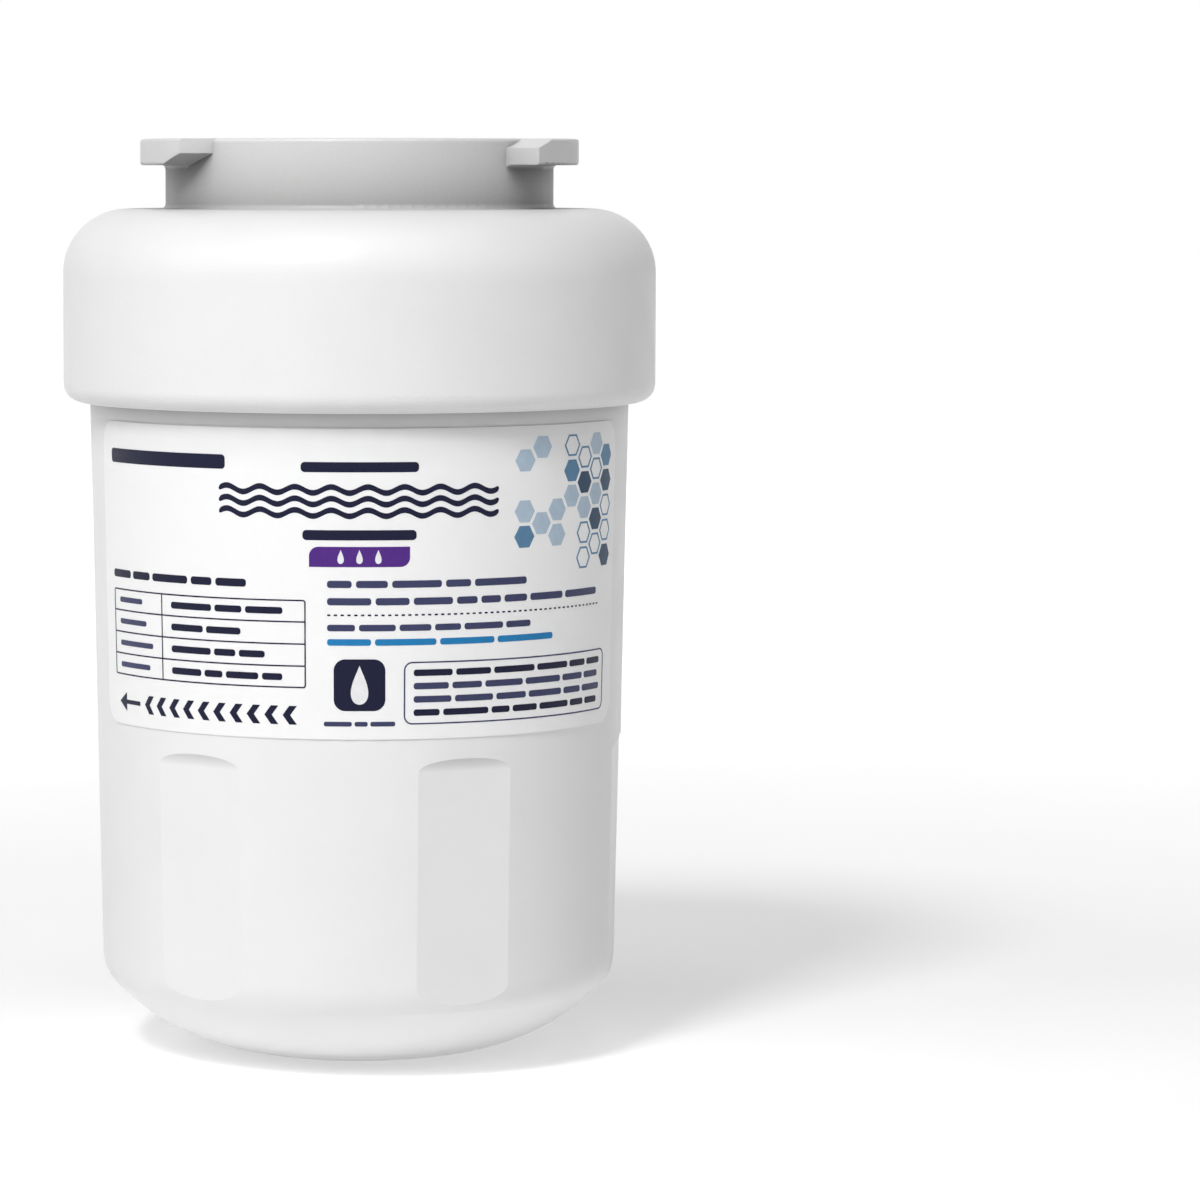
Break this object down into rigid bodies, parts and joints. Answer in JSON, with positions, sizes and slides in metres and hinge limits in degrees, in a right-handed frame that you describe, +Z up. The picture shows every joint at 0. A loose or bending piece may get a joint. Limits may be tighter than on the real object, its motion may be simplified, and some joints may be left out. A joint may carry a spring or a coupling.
{
  "type": "refrigerator water filter cartridge",
  "caption": "White cylindrical filter cartridge with a domed foot, wide rounded collar, bayonet lugs on a short neck and a carbon element sealed inside.",
  "frame": {"origin": "middle of the flat foot, at the bottom of the bounding box", "axes": "+Z up the cartridge's axis towards the port, -Y to the printed front, the bayonet lugs on +X and -X"},
  "size_m": [0.0858, 0.0858, 0.1321],
  "materials": {
    "sump": "satin moulded polypropylene",
    "head": "satin moulded polypropylene",
    "label": "printed satin film",
    "seal": "lubricated black rubber",
    "end_cap": "natural polypropylene",
    "carbon": "sintered carbon powder in a plastic binder",
    "felt": "white needle felt",
    "net": "extruded polyethylene net",
    "glue": "hot melt"
  },
  "bodies": {
    "root": {"sump": "sump", "head": "head", "label": "label", "inlet_o_ring": "seal", "outlet_o_ring": "seal", "lower_stub_o_ring": "seal", "upper_stub_o_ring": "seal", "top_end_cap": "end_cap", "bottom_end_cap": "end_cap", "carbon_block": "carbon", "prefilter_wrap": "felt", "outer_net": "net", "top_glue_ring": "glue", "bottom_glue_ring": "glue"}
  },
  "joints": []
}
